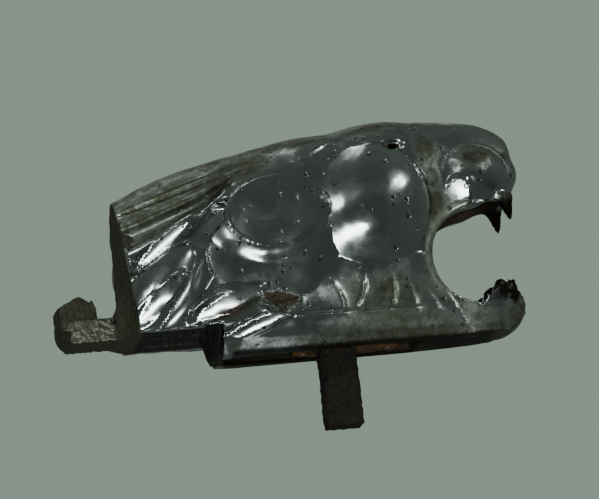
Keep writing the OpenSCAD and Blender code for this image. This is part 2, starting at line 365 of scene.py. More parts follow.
def lower_band(x, z, d):
    """Rolled band along the bottom, in front of the step."""
    roll = dome(np.abs((z - 4.6) / 5.2), 1.7, 1.0, 0.2)
    ends = step((x + 35) / 5) * step((42 - x) / 14)
    d = np.where(x > STEP_X, np.maximum(d, roll * ends), d)
    return d - 0.5 * bump((z - 9.3) / 1.1) * step((x + 14) / 4) * step((27 - x) / 4)


# Flat faces of the rear locks: centre x and z, half length, half width, turn, and height over the
# plain body at the centre. Each leans outward toward the nose and the crown.
FACETS = [(-54.3, 16.4, 9.4, 2.6, 43, 3.3), (-34.6, 13.8, 10.0, 2.7, 20, 2.0),
          (-25.9, 7.2, 8.6, 2.1, 15, 1.9), (-50.3, 34.6, 11.0, 2.1, 37, 3.4)]
FACET_LEAN_X, FACET_LEAN_Z = 0.167, 0.179


def facets(x, z, d):
    """The relief with the flat faces set into it."""
    for cx, cz, a, b, turn, height in FACETS:
        rho = oval(x, z, cx, cz, a, b, turn)
        level = half_width(np.full((1, 1), cx), cz)[0, 0] + height
        face_y = level + FACET_LEAN_X * (x - cx) + FACET_LEAN_Z * (z - cz) - 0.35 * rho ** 2
        d = d + (face_y - half_width(x, z) - d) * step((1.45 - rho) / 0.6)
    return d


# Limits of the mane's relief
DEEPEST, HIGHEST = -1.6, 5.6


def flank(x, z):
    """How far the modelled flank stands out from the plain body, by place on the side view."""
    d = rear_locks(x, z)
    for part in (tufts, fan, lower_band, shoulder, great_lobe, facets):
        d = part(x, z, d)
    return np.clip(d, DEEPEST, HIGHEST)


# ---------------------------------------------------------------- plated head: face and jaws

# Lines of the head's front, over z, and of the skull's half width and crown, over x
FRONT = [(-2, 49.0), (0, 51.6), (3, 55.4), (6, 57.4), (10, 58.0), (13, 57.2), (16, 56.0),
         (30, 55.5), (40, 57.0), (44.2, 58.3), (46.6, 59.6), (49.3, 60.0), (53, 58.9),
         (56.4, 58.4), (60.9, 56.6), (64, 52.0), (66, 46.0), (68, 38)]
SKULL_WIDTH = [(20, 16.6), (30, 14.2), (38, 12.6), (46, 12.2), (52, 11.2), (57, 9.4), (61, 7.0)]
SKULL_CROWN = [(20, 68.2), (28.4, 67.0), (38, 66.4), (44.3, 66.0), (51.1, 64.2), (56.4, 61.2),
               (61, 57)]
SKULL_Z = 45.0
SKULL_POWERS = (2.1, 3.0)
SKULL_FOOT = 9.2 / 16.0
SKULL_REAR = 27

# Ovals of the face's relief
CHEEK = (45.8, 48.6, 9.8, 8.4, -6)
CHEEK_PAD = (38.9, 41.3, 3.9, 6.0, -20)
MUZZLE = (55.4, 47.6, 5.0, 5.4)
NECK_GROOVE = (34.5, 42.0, 3.6, 22.0, 4)
JAW_SWELL = (40.6, 8.2, 4.4, 2.6, -20)


def skull(x, y, z):
    """The front of the head without its relief, from behind the ear to the nose and the jaw."""
    above, below = SKULL_POWERS
    low_reach = SKULL_Z / (1 - SKULL_FOOT ** below) ** (1 / below)
    n = np.where(z > SKULL_Z, above, below)
    reach = np.where(z > SKULL_Z, curve(x, SKULL_CROWN) - SKULL_Z, low_reach)
    f = rounded(y, z, curve(x, SKULL_WIDTH), SKULL_Z, reach, n)
    round_off = 0.022 * y * y
    f = smax(f, (x - curve(z, FRONT) + round_off) * 0.9, 1.6)
    return smax(f, (SKULL_REAR - x) * 0.7, 5.0)


# Worn pits of the face, each an oval and a depth: the eye, two small ones under the brow, the side
# of the nose and the whisker pad
PITS = [(38.4, 51.2, 3.4, 2.8, 0.45), (43.5, 53.4, 1.5, 1.5, 0.35), (46.1, 52.2, 1.4, 1.4, 0.35),
        (56.2, 53.6, 2.2, 1.8, 0.5), (50.2, 44.4, 3.0, 2.0, 0.35)]


def face(x, z):
    """Relief of the face, by place on the side view."""
    d = np.zeros(np.broadcast(x, z).shape)
    cheek = oval(x, z, *CHEEK)
    brow_side = step((z - 48) / 6) * step((x - 37) / 3)
    swell = np.clip(1 - cheek * cheek, 0, 1)
    soft = 3.0 * swell ** 1.2
    hard = 0.4 + 2.7 * swell ** 0.7
    d = d + np.where(cheek < 1, soft + (hard - soft) * brow_side, 0)
    d = d + 0.6 * bump((cheek - 1.07) / 0.10) * step((z - 50) / 3)
    pad = step((1.35 - oval(x, z, *CHEEK_PAD)) / 0.45)
    slant = 0.2 + 0.27 * (x - 36) + 0.18 * (z - 38)
    d = d + (slant - d) * pad
    for cx, cz, a, b, deep in PITS:
        d = d - deep * bump(oval(x, z, cx, cz, a, b))
    d = d + 0.5 * bump(oval(x, z, *MUZZLE))
    d = d - 0.9 * bump(oval(x, z, *NECK_GROOVE) / 1.25)
    d = d + 1.0 * bump((mouth_ring(x, z) - 1.2) / 1.7) * step((50 - x) / 6)
    return d + 0.7 * bump(oval(x, z, *JAW_SWELL) / 1.3)


# Lines over x of the upper lip's underside and of the lower jaw's worn top
ROOF = [(40, 36.0), (44, 38.0), (48, 39.6), (52, 40.4), (57, 41.4), (66, 43)]
FLOOR = [(40, 9.0), (44, 9.9), (46.5, 12.6), (49, 14.4), (51, 15.6), (53, 15.0), (54.6, 13.4),
         (56.5, 10.6), (60, 4)]


def gape(x, y, z):
    """The opening between the jaws: negative inside it."""
    worn = 0.55 * np.sin(2.3 * x + 0.4 * y) * step((x - 44.5) / 2)
    floor = curve(x, FLOOR) + worn + 0.4 * np.sin(3.9 * x - 1.3 * y)
    mouth = np.maximum(np.maximum(z - curve(x, ROOF), floor - z), 43 - x)
    ring = mouth_ring(x, z)
    ring = np.where(x > MOUTH_X, np.maximum(ring, floor - z), ring)
    return smin(ring, mouth, 0.8)


# The fang's root and length, and its radii; it is cut off a little below its root's centre
FANG_X, FANG_Y, FANG_Z = 53.6, 9.2, 42.2
FANG_TOP = FANG_Z - 0.6
FANG_LENGTH = 8.6
FANG_ROOT_R, FANG_TIP_R = 2.5, 0.22


def fangs(x, y, z):
    """Upper fang at each front corner of the lip, leaning forward and outward toward its tip."""
    t = np.clip((FANG_Z - z) / FANG_LENGTH, 0, 1)
    r = FANG_ROOT_R * (1 - t) ** 0.9 + FANG_TIP_R
    d = np.sqrt(((x - FANG_X - 1.5 * t) / 1.15) ** 2 + (y - FANG_Y - 1.9 * t) ** 2) - r
    return np.maximum(np.maximum(d, z - FANG_TOP), FANG_Z - FANG_LENGTH - z)


# Worn lower teeth from the back: centre and half sizes
TEETH = [((47.0, 8.4, 11.4), (2.3, 2.0, 2.6)), ((50.2, 8.8, 13.4), (2.1, 1.9, 3.1)),
         ((53.4, 7.4, 12.6), (2.1, 2.2, 3.6)), ((55.6, 4.4, 9.8), (1.9, 2.2, 3.0)),
         ((56.2, 1.4, 8.8), (1.6, 1.7, 2.8))]


def teeth(x, y, z):
    """The lower teeth, worn down to lumps."""
    f = ellipsoid(x, y, z, *TEETH[0])
    for centre, radii in TEETH[1:]:
        f = smin(f, ellipsoid(x, y, z, centre, radii), 0.8)
    return f - 0.35 * ripple(x, y, z, 2.6)


# Centre and half sizes of the hollows cut into the head
NOSTRIL = ((60.2, 3.4, 51.2), (2.2, 1.5, 1.2))
EAR = ((22.4, 14.2, 59.4), (4.2, 3.6, 2.2))
PALATE = ((47.4, 0, 37.0), (8.6, 9.4, 8.6))
HOLLOW_FRONT = 24
# The seat's height over x, in front of the step
SEAT = [(22, 0.0), (46, 0.8), (52, 1.3), (57, 3.2)]


def plated(x, y, z):
    """The head shell: negative inside the metal."""
    outer = body(x, y, z) - flank(x, z) * step((y - 4) / 6)
    outer = smax(outer, (x - 49) * 0.8, 6.0)
    outer = smax(outer, y - WIDEST_Y, 0.8)
    outer = smin(outer, skull(x, y, z) - face(x, z) * step((y - 3) / 6), 2.2)
    furrow = bump(y / 1.8) * step((x - 36) / 6) * step((58 - x) / 5) * step((z - 56) / 3)
    outer = smax(outer + 0.8 * furrow, -ellipsoid(x, y, z, *NOSTRIL), 0.8)
    outer = smax(outer, -ellipsoid(x, y, z, *EAR), 1.0)
    thin = EDGE_WALL + (WALL - EDGE_WALL) * step((x - rear_face(z) - 1.5) / 2.5)
    hollow = body(x, y, z) + thin
    hollow = np.maximum(hollow, x - HOLLOW_FRONT)
    hollow = smax(hollow, WALL - mouth_ring(x, z), 1.0)
    f = np.maximum(outer, -hollow)
    f = smax(f, -gape(x, y, z), 0.5)
    f = smax(f, -ellipsoid(x, y, z, *PALATE), 0.6)
    f = smin(f, fangs(x, y, z) + 0.12 * ripple(x, y, z, 2.2), 2.0)
    f = smin(f, smax(teeth(x, y, z), (x - curve(z, FRONT)) - 0.6, 0.5), 0.8)
    seat = np.where(x < STEP_X, STEP_Z, curve(x, SEAT))
    f = smax(f, seat - z, 0.4)
    f = smax(f, rear_face(z) - x, 0.3)
    return f - 0.03 * ripple(x, y, z, 8.0)


# ---------------------------------------------------------------- bare base casting

# Low and high corners of the pocket, of the ledge over it and of the front wall's block
POCKET = ((-57.0, 1.8, 0), (-38.4, 11.4, 11.6))
SHELF = ((-52, 4.4, 10.6), (-42, 14, 17.6))
FRONT_WALL = ((STEP_X - 1.2, 5.0, 0.4), (STEP_X + 3, SEAT_HALF - WALL - 0.1, 11.2))
PLATE = 3.4
SLAB = 3.2
WEB_HALF = 1.6
RIB_X = (-57.2, -57)
LUG_HALF = 8.9
LUG_FRONT = -58
# Top of the hooked lip, over x
LIP = [(-84, 19.4), (-82.4, 19.6), (-79, 21.2), (-75.6, 22.5), (-74.2, 21.7), (-73.0, 20.6),
       (-71.4, 19.4), (-71.0, 16.0), (-70.9, 12.0)]
LIP_FRONT = -71.0


def lug(x, y, z):
    """The rear lug with its raised lip."""
    low, high = (LUG_X + 0.1, -LUG_HALF, STEP_Z - 0.2), (LUG_FRONT, LUG_HALF, 15.0)
    f = block(x, y, z, low, high, 0.7)
    f = smax(f, (LUG_X + 2.6 - x + y - LUG_HALF) * 0.7071 + 0.4, 0.5)
    f = smax(f, (LUG_X + 2.8 - x + STEP_Z - z) * 0.7071, 0.5)
    lip = np.maximum(z - curve(x, LIP), np.maximum(x - LIP_FRONT, LUG_X + 0.3 - x))
    lip = smax(lip, y - 7.8 + 0.25 * (z - 15), 0.9)
    lip = np.maximum(lip, 12 - z)
    return smin(f, lip, 0.7)


def base(x, y, z):
    """Rear plate, stepped slab with its two pockets, and the hooked lug."""
    inside = body(x, y, z) + EDGE_WALL + 0.05
    face_x = rear_face(z)
    plate = np.maximum(inside, x - face_x - PLATE)
    slab = np.maximum(inside + 1.2, np.maximum(z - STEP_Z - SLAB, x - STEP_X))
    f = np.minimum(plate, slab)
    across = step((18.6 - y) / 9.5)
    flare = (5.0 * np.clip((27 - z) / 11.5, 0, 1) ** 2.2) * across
    behind = face_x - flare - x
    f = np.maximum(f, behind)
    foot = np.maximum(np.maximum(behind, x - face_x - 1), z - 30)
    foot = np.maximum(foot, np.maximum(inside, STEP_Z - 0.1 - z))
    f = smin(f, foot, 0.6)
    f = smin(f, lug(x, y, z), 1.2)
    f = smax(f, -block(x, y, z, *POCKET, 0.8), 0.4)
    f = np.minimum(f, block(x, y, z, *SHELF, 0.6))
    f = smin(f, block(x, y, z, *FRONT_WALL, 0.5), 0.4)
    f = smax(f, WEB_HALF - y, 0.2)
    rib = np.maximum(np.maximum(y - 2.2, x - RIB_X[1]), np.maximum(z - 11.2, RIB_X[0] - x))
    f = np.minimum(f, np.maximum(rib, STEP_Z - z))
    f = np.minimum(f, np.maximum(inside, np.maximum(x - face_x - PLATE, behind)))
    f = np.minimum(f, lug(x, y, z))
    below = np.where(x > STEP_X - 1.3, 8, 0)
    f = smax(f, STEP_Z - 0.05 - z - below, 0.3)
    patch = step((x + 84) / 4) * step((-62 - x) / 4) * step((y - 6) / 2)
    return f + (0.08 + 0.05 * patch) * ripple(x, y, z, 3.1) + 0.07 * ripple(x, y, z, 1.5)


# ---------------------------------------------------------------- rusty pieces

POST_SIDE = 1.4
SHOULDER_Z = (3.4, 5.8)
NOTCH_R = (2.2, 2.0, 3.8)
BRIDGE_TOP = 3.4
EAR_HALF, EAR_WALL = 4, 2.8


def post(x, y, z):
    """Rusty rectangular post, with its shoulders over the bridge."""
    half_x, half_y = (POST_HI[0] - POST_LO[0]) / 2 - POST_SIDE, POST_HI[1]
    f = block(x, y, z, (-half_x, -half_y, POST_LO[2] + 0.25), (half_x, half_y, POST_HI[2]), 0.7)
    low, high = SHOULDER_Z
    arms = block(x, y, z, (POST_LO[0], -half_y, low), (POST_HI[0], half_y, high), 0.4)
    f = np.minimum(f, arms)
    notch = ellipsoid(x, y, z, (-half_x - 0.2, half_y + 0.4, -5.5), NOTCH_R)
    f = smax(f, -notch, 0.6)
    return f + 0.16 * ripple(x, y, z, 4.2) + 0.10 * ripple(x, y, z, 1.7)


def bridge(x, y, z):
    """Lens-shaped rusty bridge with two ears for the post's pin."""
    cx = (BRIDGE_LO[0] + BRIDGE_HI[0]) / 2
    half_x, half_y = (BRIDGE_HI[0] - BRIDGE_LO[0]) / 2, BRIDGE_HI[1]
    r = (half_x ** 2 + half_y ** 2) / (2 * half_y)
    f = np.sqrt((x - cx) ** 2 + (y + r - half_y) ** 2) - r
    mid, half_z = (BRIDGE_TOP + BRIDGE_LO[2]) / 2, (BRIDGE_TOP - BRIDGE_LO[2]) / 2
    f = smax(f, np.abs(z - mid) - half_z, 0.5)
    low = (-EAR_HALF, POST_HI[1], 0.6)
    high = (EAR_HALF, POST_HI[1] + EAR_WALL, BRIDGE_HI[2])
    f = np.minimum(f, block(x, y, z, low, high, 0.5))
    hole = np.maximum(np.abs(x) - (POST_HI[0] - 1.35), y - POST_HI[1] - 0.05)
    f = np.maximum(f, -hole)
    return f + 0.08 * ripple(x, y, z, 3.3) + 0.05 * ripple(x, y, z, 1.3)


# ---------------------------------------------------------------- meshing

HEAD_VOXEL, BASE_VOXEL, RUST_VOXEL = 0.71, 0.5, 0.4
RUST_MARGIN = 1.0
MOVE_REACH, NORMAL_REACH = 0.1, 0.15
ROOM_REACHES = (0.7, 1.6, 3.2)


def field_mesh(field, low, high, voxel):
    """Meshes a field that is mirrored in Y, drawn onto its exact surface, with exact normals.

    The last value is 0 where a vertex has free space in front of it and 1 deep in a hollow.
    """
    xs = np.arange(low[0], high[0], voxel)
    ys = np.arange(0.5 * voxel, high[1], voxel)
    zs = np.arange(low[2], high[2], voxel)
    half = np.empty((len(xs), len(ys), len(zs)), np.float32)
    yy = ys[:, None]
    zz = zs[None, :]
    for i, xv in enumerate(xs):
        half[i] = field(np.full((1, 1), xv), yy, zz)
    dense = np.concatenate([half[:, ::-1, :], half], axis=1)
    band = 3 * voxel
    grid = vdb.FloatGrid(background=band)
    grid.copyFromArray(np.clip(dense, -band, band).astype(np.float32))
    points, quads = grid.convertToQuads(isovalue=0.0)
    origin = np.array([low[0], -ys[-1], low[2]])
    points = points.astype(float) * voxel + origin

    def value(p):
        return field(p[:, 0], np.abs(p[:, 1]), p[:, 2])

    def gradient(p, e):
        g = np.empty_like(p)
        for k in range(3):
            off = np.zeros(3)
            off[k] = e
            g[:, k] = value(p + off) - value(p - off)
        return g / (2 * e)

    for _ in range(2):
        g = gradient(points, MOVE_REACH)
        move = -value(points)[:, None] * g / np.maximum((g * g).sum(1), 0.2)[:, None]
        length = np.linalg.norm(move, axis=1, keepdims=True)
        points = points + move * np.minimum(1, 0.5 * voxel / np.maximum(length, 1e-9))
    normals = gradient(points, NORMAL_REACH)
    size = np.maximum(np.linalg.norm(normals, axis=1, keepdims=True), 1e-9)
    normals /= size
    room = np.zeros(len(points))
    for reach in ROOM_REACHES:
        room += value(points + normals * reach) / (reach * size[:, 0]) / len(ROOM_REACHES)
    return points, quads, normals, np.clip(1.0 - room, 0, 1)


def mesh_object(name, field, low, high, voxel):
    """Links an object meshed from a field; also returns its vertices in millimetres and hollows."""
    points, quads, normals, hollow = field_mesh(field, low, high, voxel)
    mesh = bpy.data.meshes.new(name)
    mesh.vertices.add(len(points))
    mesh.vertices.foreach_set("co", (points * MM).astype(np.float32).ravel())
    mesh.loops.add(quads.size)
    mesh.loops.foreach_set("vertex_index", quads.astype(np.int32).ravel())
    mesh.polygons.add(len(quads))
    mesh.polygons.foreach_set("loop_start", np.arange(0, quads.size, 4, dtype=np.int32))
    mesh.polygons.foreach_set("loop_total", np.full(len(quads), 4, np.int32))
    mesh.update(calc_edges=True)
    mesh.polygons.foreach_set("use_smooth", np.ones(len(mesh.polygons), bool))
    mesh.normals_split_custom_set_from_vertices(normals.tolist())
    obj = bpy.data.objects.new(name, mesh)
    bpy.context.scene.collection.objects.link(obj)
    add_mask(obj, "hollow", hollow)
    return obj, points, hollow.astype(np.float32)


def add_mask(obj, name, values):
    """Keeps values between 0 and 1 on the vertices, for a material to read."""
    layer = obj.data.attributes.new(name, "FLOAT", "POINT")
    layer.data.foreach_set("value", np.clip(values, 0, 1).astype(np.float32))


# ---------------------------------------------------------------- materials

class Nodes:
    """Short forms for building one material's node tree."""

    def __init__(self, name):
        self.material = bpy.data.materials.new(name)
        self.material.use_nodes = True
        self.tree = self.material.node_tree
        self.shader = self.tree.nodes["Principled BSDF"]
        self.place = self.tree.nodes.new("ShaderNodeTexCoord").outputs["Object"]

    def put(self, value, socket):
        """Sets a socket to a number or a tuple, or links another socket to it."""
        if isinstance(value, (int, float, tuple)):
            socket.default_value = value
        else:
            self.tree.links.new(value, socket)

    def math(self, kind, a, b=0.0, clamp=False):
        node = self.tree.nodes.new("ShaderNodeMath")
        node.operation = kind
        node.use_clamp = clamp
        self.put(a, node.inputs[0])
        self.put(b, node.inputs[1])
        return node.outputs[0]

    def ramp(self, value, low, high, out_low=0.0, out_high=1.0):
        """A smooth step of value between low and high."""
        node = self.tree.nodes.new("ShaderNodeMapRange")
        node.interpolation_type = "SMOOTHSTEP"
        self.put(value, node.inputs["Value"])
        limits = {"From Min": low, "From Max": high, "To Min": out_low, "To Max": out_high}
        for key, number in limits.items():
            node.inputs[key].default_value = number
        return node.outputs["Result"]

    def stretch(self, scale):
        node = self.tree.nodes.new("ShaderNodeMapping")
        self.put(self.place, node.inputs["Vector"])
        node.inputs["Scale"].default_value = scale
        return node.outputs[0]

    def noise(self, scale, detail=4.0, roughness=0.55, distortion=0.0, vector=None):
        node = self.tree.nodes.new("ShaderNodeTexNoise")
        self.put(vector or self.place, node.inputs["Vector"])
        node.inputs["Scale"].default_value = scale
        node.inputs["Detail"].default_value = detail
        node.inputs["Roughness"].default_value = roughness
        node.inputs["Distortion"].default_value = distortion
        return node.outputs["Fac"]

    def spots(self, scale, share, size):
        """Scattered round spots: scale in spots a metre, share of the cells that hold one."""
        node = self.tree.nodes.new("ShaderNodeTexVoronoi")
        self.put(self.place, node.inputs["Vector"])
        node.inputs["Scale"].default_value = scale
        split = self.tree.nodes.new("ShaderNodeSeparateColor")
        self.put(node.outputs["Color"], split.inputs[0])
        chosen = self.ramp(split.outputs[0], 1 - share, 1 - share + 0.02)
        near = self.ramp(node.outputs["Distance"], size, size * 0.55)
        return self.math("MULTIPLY", chosen, near)

    def rough_edged(self, name, noise, middle, low, high):
        """A vertex mask whose edge is broken up by a noise."""
        noise = self.math("SUBTRACT", noise, middle)
        return self.ramp(self.math("ADD", self.mask(name), noise), low, high)

    def mask(self, name):
        node = self.tree.nodes.new("ShaderNodeAttribute")
        node.attribute_name = name
        return node.outputs["Fac"]

    def mix(self, fac, a, b):
        node = self.tree.nodes.new("ShaderNodeMix")
        node.data_type = "RGBA"
        self.put(fac, node.inputs[0])
        self.put(a if not isinstance(a, tuple) else (*a, 1.0), node.inputs[6])
        self.put(b if not isinstance(b, tuple) else (*b, 1.0), node.inputs[7])
        return node.outputs[2]

    def relief(self, height, strength, distance, normal=None):
        node = self.tree.nodes.new("ShaderNodeBump")
        node.inputs["Strength"].default_value = strength
        node.inputs["Distance"].default_value = distance
        self.put(height, node.inputs["Height"])
        if normal is not None:
            self.put(normal, node.inputs["Normal"])
        return node.outputs[0]

    def finish(self, **inputs):
        names = {"color": "Base Color", "metallic": "Metallic", "roughness": "Roughness",
                 "normal": "Normal", "shine": "Specular IOR Level"}
        for key, value in inputs.items():
            if key == "color" and isinstance(value, tuple):
                value = (*value, 1.0)
            self.put(value, self.shader.inputs[names[key]])
        return self.material


def chrome_material():
    """Old plating: a dark mirror with pits, brown grime in the hollows and corroded patches,
    painted highlights round the mouth's back and the jaw, a painted red reflection on the
    leaf-shaped lock, and painted shade in the face's pits and eye.
    """
    n = Nodes("worn_chrome")
    cloud = n.noise(95, 5, 0.6, 0.6)
    fine = n.noise(900, 4, 0.6)
    mottle = n.math("ADD", n.math("MULTIPLY", n.math("SUBTRACT", cloud, 0.5), 1.0),
                    n.math("MULTIPLY", n.math("SUBTRACT", n.noise(380, 5, 0.7, 0.5), 0.5), 1.5))
    grime = n.ramp(n.math("ADD", n.mask("grime"), mottle), 0.15, 1.25, 0.0, 0.92)
    rust = n.rough_edged("corrosion", n.noise(420, 5, 0.65), 0.5, 0.42, 0.62)
    pits = n.math("MAXIMUM", n.spots(210, 0.34, 0.19), n.spots(430, 0.22, 0.26))
    specks = n.spots(1500, 0.16, 0.3)
    metal = n.mix(cloud, (0.36, 0.395, 0.38), (0.52, 0.56, 0.545))
    dirt = n.mix(n.noise(300, 4, 0.6), (0.036, 0.036, 0.014), (0.088, 0.092, 0.046))
    color = n.mix(grime, metal, dirt)
    # The mask worn holds painted highlight: a light, dull olive colour round the mouth's back and
    # on the jaw's corner.
    worn = n.math("MULTIPLY", n.mask("worn"), n.ramp(n.noise(240, 4, 0.6), 0.25, 0.6))
    color = n.mix(worn, color, (0.34, 0.36, 0.28))
    # Painted reflection: a reddish streak across the leaf-shaped lock.
    color = n.mix(n.mask("red_reflection"), color, (0.30, 0.13, 0.09))
    color = n.mix(rust, color, n.mix(fine, (0.028, 0.022, 0.016), (0.15, 0.11, 0.07)))
    color = n.mix(n.math("MULTIPLY", pits, 0.75), color, (0.10, 0.085, 0.06))
    color = n.mix(n.math("MULTIPLY", specks, 0.6), color, (0.05, 0.045, 0.035))
    # Near black: dirt on the fangs, teeth and palate, painted shade in the face's pits, and darker
    # along the underside.
    color = n.mix(n.mask("dirt_and_shade"), color, (0.012, 0.008, 0.006))
    clean = n.math("SUBTRACT", 1.0, n.math("MULTIPLY", grime, 0.4))
    metallic = n.math("SUBTRACT", clean, n.math("MULTIPLY", rust, 0.4), True)
    rough = n.math("ADD", n.ramp(cloud, 0.3, 0.75, 0.13, 0.28), n.math("MULTIPLY", grime, 0.28))
    rough = n.math("ADD", rough, n.math("MULTIPLY", rust, 0.35))
    dull = n.math("MULTIPLY", n.math("ADD", worn, n.mask("dirt_and_shade")), 0.25)
    rough = n.math("ADD", rough, dull, True)
    covered = n.math("MAXIMUM", grime, n.mask("dirt_and_shade"))
    shine = n.math("SUBTRACT", 0.5, n.math("MULTIPLY", covered, 0.38))
    normal = n.relief(n.math("MULTIPLY", fine, n.math("ADD", grime, 0.08)), 0.35, 0.00025)
    normal = n.relief(n.math("MULTIPLY", rust, fine), 0.7, 0.0006, normal)
    normal = n.relief(n.math("MULTIPLY", pits, -1.0), 0.8, 0.0005, normal)
    return n.finish(color=color, metallic=metallic, roughness=rough, normal=normal, shine=shine)


def casting_material():
    """Unplated zinc casting: dull brown with file streaks and a bright, rough patch on the lug, and
    painted shade, near black, low down, in the pocket and in the hollows.
    """
    n = Nodes("bare_casting")
    streak = n.noise(1.0, 5, 0.65, 0.2, n.stretch((900.0, 900.0, 60.0)))
    cloud = n.noise(160, 5, 0.6)
    fine = n.noise(1400, 3, 0.6)
    bright = n.rough_edged("filed", n.noise(700, 4, 0.7), 0.55, 0.35, 0.7)
    color = n.mix(cloud, (0.026, 0.024, 0.014), (0.062, 0.056, 0.036))
    color = n.mix(n.ramp(streak, 0.35, 0.7), color, (0.088, 0.080, 0.054))
    # Painted shade, near black, low down on the casting and inside the pocket.
    color = n.mix(n.math("MULTIPLY", n.mask("under"), 0.9), color, (0.008, 0.006, 0.004))
    color = n.mix(n.math("MULTIPLY", bright, 0.5), color, (0.20, 0.215, 0.16))
    # Painted shade, near black, in the casting's hollows.
    color = n.mix(n.ramp(n.mask("hollow"), 0.15, 0.7), color, (0.010, 0.008, 0.005))
    rough = n.math("SUBTRACT", n.ramp(fine, 0.2, 0.8, 0.5, 0.72), n.math("MULTIPLY", bright, 0.2))
    normal = n.relief(streak, 0.35, 0.0004)
    scratches = n.math("ADD", fine, n.math("MULTIPLY", bright, n.noise(600)))
    normal = n.relief(scratches, 0.25, 0.0002, normal)
    metallic = n.math("ADD", 0.25, n.math("MULTIPLY", bright, 0.3))
    return n.finish(color=color, metallic=metallic, roughness=rough, normal=normal)


def rust_material(name, dark, mid, light):
    """Flaky rust, or dry dirt, in three tones."""
    n = Nodes(name)
    cloud = n.noise(210, 6, 0.65, 0.4)
    grain = n.noise(1300, 4, 0.7)
    flakes = n.spots(700, 0.4, 0.4)
    color = n.mix(n.ramp(cloud, 0.35, 0.65), dark, mid)
    color = n.mix(n.ramp(grain, 0.55, 0.8), color, light)
    color = n.mix(n.math("MULTIPLY", flakes, 0.5), color, dark)
    normal = n.relief(grain, 0.6, 0.0004)
    normal = n.relief(n.math("ADD", cloud, flakes), 0.5, 0.0006, normal)
    rough = n.ramp(grain, 0.2, 0.8, 0.62, 0.9)
    return n.finish(color=color, metallic=0.15, roughness=rough, normal=normal)


def steel_material():
    """Rivets, pins and screws: steel gone brown."""
    n = Nodes("fixings")
    cloud = n.noise(260, 5, 0.6)
    grain = n.noise(1500, 3, 0.6)
    color = n.mix(n.ramp(cloud, 0.4, 0.62), (0.22, 0.19, 0.15), (0.10, 0.055, 0.03))
    return n.finish(color=color, metallic=0.7, roughness=n.ramp(grain, 0.2, 0.8, 0.38, 0.66),
                    normal=n.relief(grain, 0.4, 0.0003))


# ---------------------------------------------------------------- pieces

def mouth_lining(x, y, z):
    """1 on the inner side of the upper jaw, 0 on its outside."""
    return step((-skull(x, y, z) - 1.0) / 1.6) * step((z - 32) / 4) * step((x - 33) / 4)


# Stains of the head, each an amount, the oval it lies on, and how far it spreads past the oval
GRIME = [(1.25, (32.4, 41.0, 4.6, 27.0, 3), 1.3), (0.55, (30.0, 58.0, 9.0, 7.0), 1.3),
         (1.05, (16.0, 14.0, 26.0, 10.0), 1.3), (0.6, (-14.0, 56.5, 20.0, 6.0, 16), 1.3),
         (1.1, (46.5, 53.0, 11.0, 7.0), 1.2)]
# The last entry, on the eye, is painted shade of the eye's recess in the corrosion's colour.
CORROSION = [(0.95, (-18.0, 14.4, 9.0, 3.6, -8), 1.3), (0.6, (-1.4, 44.0, 3.2, 4.2), 1.3),
             (0.5, (-26.0, 38.4, 1.8, 1.8), 1.3), (0.55, (-16.0, 34.0, 1.6, 1.6), 1.3),
             (0.4, (-8.0, 57.5, 9.0, 3.0, 14), 1.3), (0.4, (38.4, 51.0, 3.4, 2.8), 1.3)]
# Oval of the painted highlight on the jaw's corner
JAW_HIGHLIGHT = (41.0, 9.0, 7.0, 4.0, -20)
# Oval of the painted red reflection across the leaf-shaped lock
RED_REFLECTION = (-32, 11.6, 7.5, 1.6, 18)


def stains(x, z, ovals):
    """Sum of the stains in a list, by place on the side view."""
    return sum(amount * bump(oval(x, z, *place) / spread) for amount, place, spread in ovals)


def grime_on_head(x, y, z, hollow):
    """Where brown grime has settled: hollows, the neck's band, the fan and the lower band."""
    g = step((hollow - 0.14) / 0.6) * 0.8 + stains(x, z, GRIME)
    g = g + 1.15 * step((z - 33 - 0.42 * (x + 62)) / 7) * step((-14 - x) / 12)
    g = g + 1.0 * step((z - 60 - 0.1 * x) / 4)
    g = g + 0.65 * step((10 - z) / 4) * step((x + 16) / 10) + 0.6 * step((4.5 - z) / 2)
    g = g + 0.35 * step((x - 50) / 8) + 0.3 * step((x - 30) / 10) * step((z - 57) / 6)
    g = g + 0.55 * step((16 - z) / 9) * step((x - 46) / 12)
    g = g + 0.8 * step((1.5 - fangs(x, y, z)) / 1.5)
    return g + 1.0 * mouth_lining(x, y, z)


def corrosion_on_head(x, y, z):
    """Where the plating has gone: patches on the flank, the fangs, teeth and palate; on the eye,
    painted shade of its recess in the same colour.
    """
    c = stains(x, z, CORROSION)
    c = c + 0.5 * step((1.0 - fangs(x, y, z)) / 1.0) + 0.8 * step((0.9 - teeth(x, y, z)) / 1.2)
    return c + 0.75 * mouth_lining(x, y, z)


def dirt_and_shade_on_head(x, y, z):
    """Near-black colour: dirt on the fangs, teeth and palate, painted shade in the face's pits, and
    darker along the underside.
    """
    fang = step((1.3 - fangs(x, y, z)) / 1.3) * step((41.8 - z) / 2.5)
    under = step((1.5 - z + 0.12 * np.maximum(x - 50, 0)) / 0.9) * step((x + 34) / 2)
    # Painted shade in the face's pits.
    pits = sum(bump(oval(x, z, cx, cz, 1.2 * a, 1.2 * b)) for cx, cz, a, b, _ in PITS)
    dirt_and_shade = fang + 0.95 * step((1.3 - teeth(x, y, z)) / 1.2) + 0.9 * under
    dirt_and_shade = dirt_and_shade + 0.5 * pits * step((y - 6) / 2)
    return dirt_and_shade + mouth_lining(x, y, z) * step((x - 41) / 12) * 0.9


def highlight_on_head(x, z):
    """Painted highlight, a light dull colour: round the mouth's back and on the jaw's corner."""
    rim = 0.8 * bump((mouth_ring(x, z) - 1.4) / 2.6) * step((46 - x) / 8)
    return rim + 0.6 * bump(oval(x, z, *JAW_HIGHLIGHT))


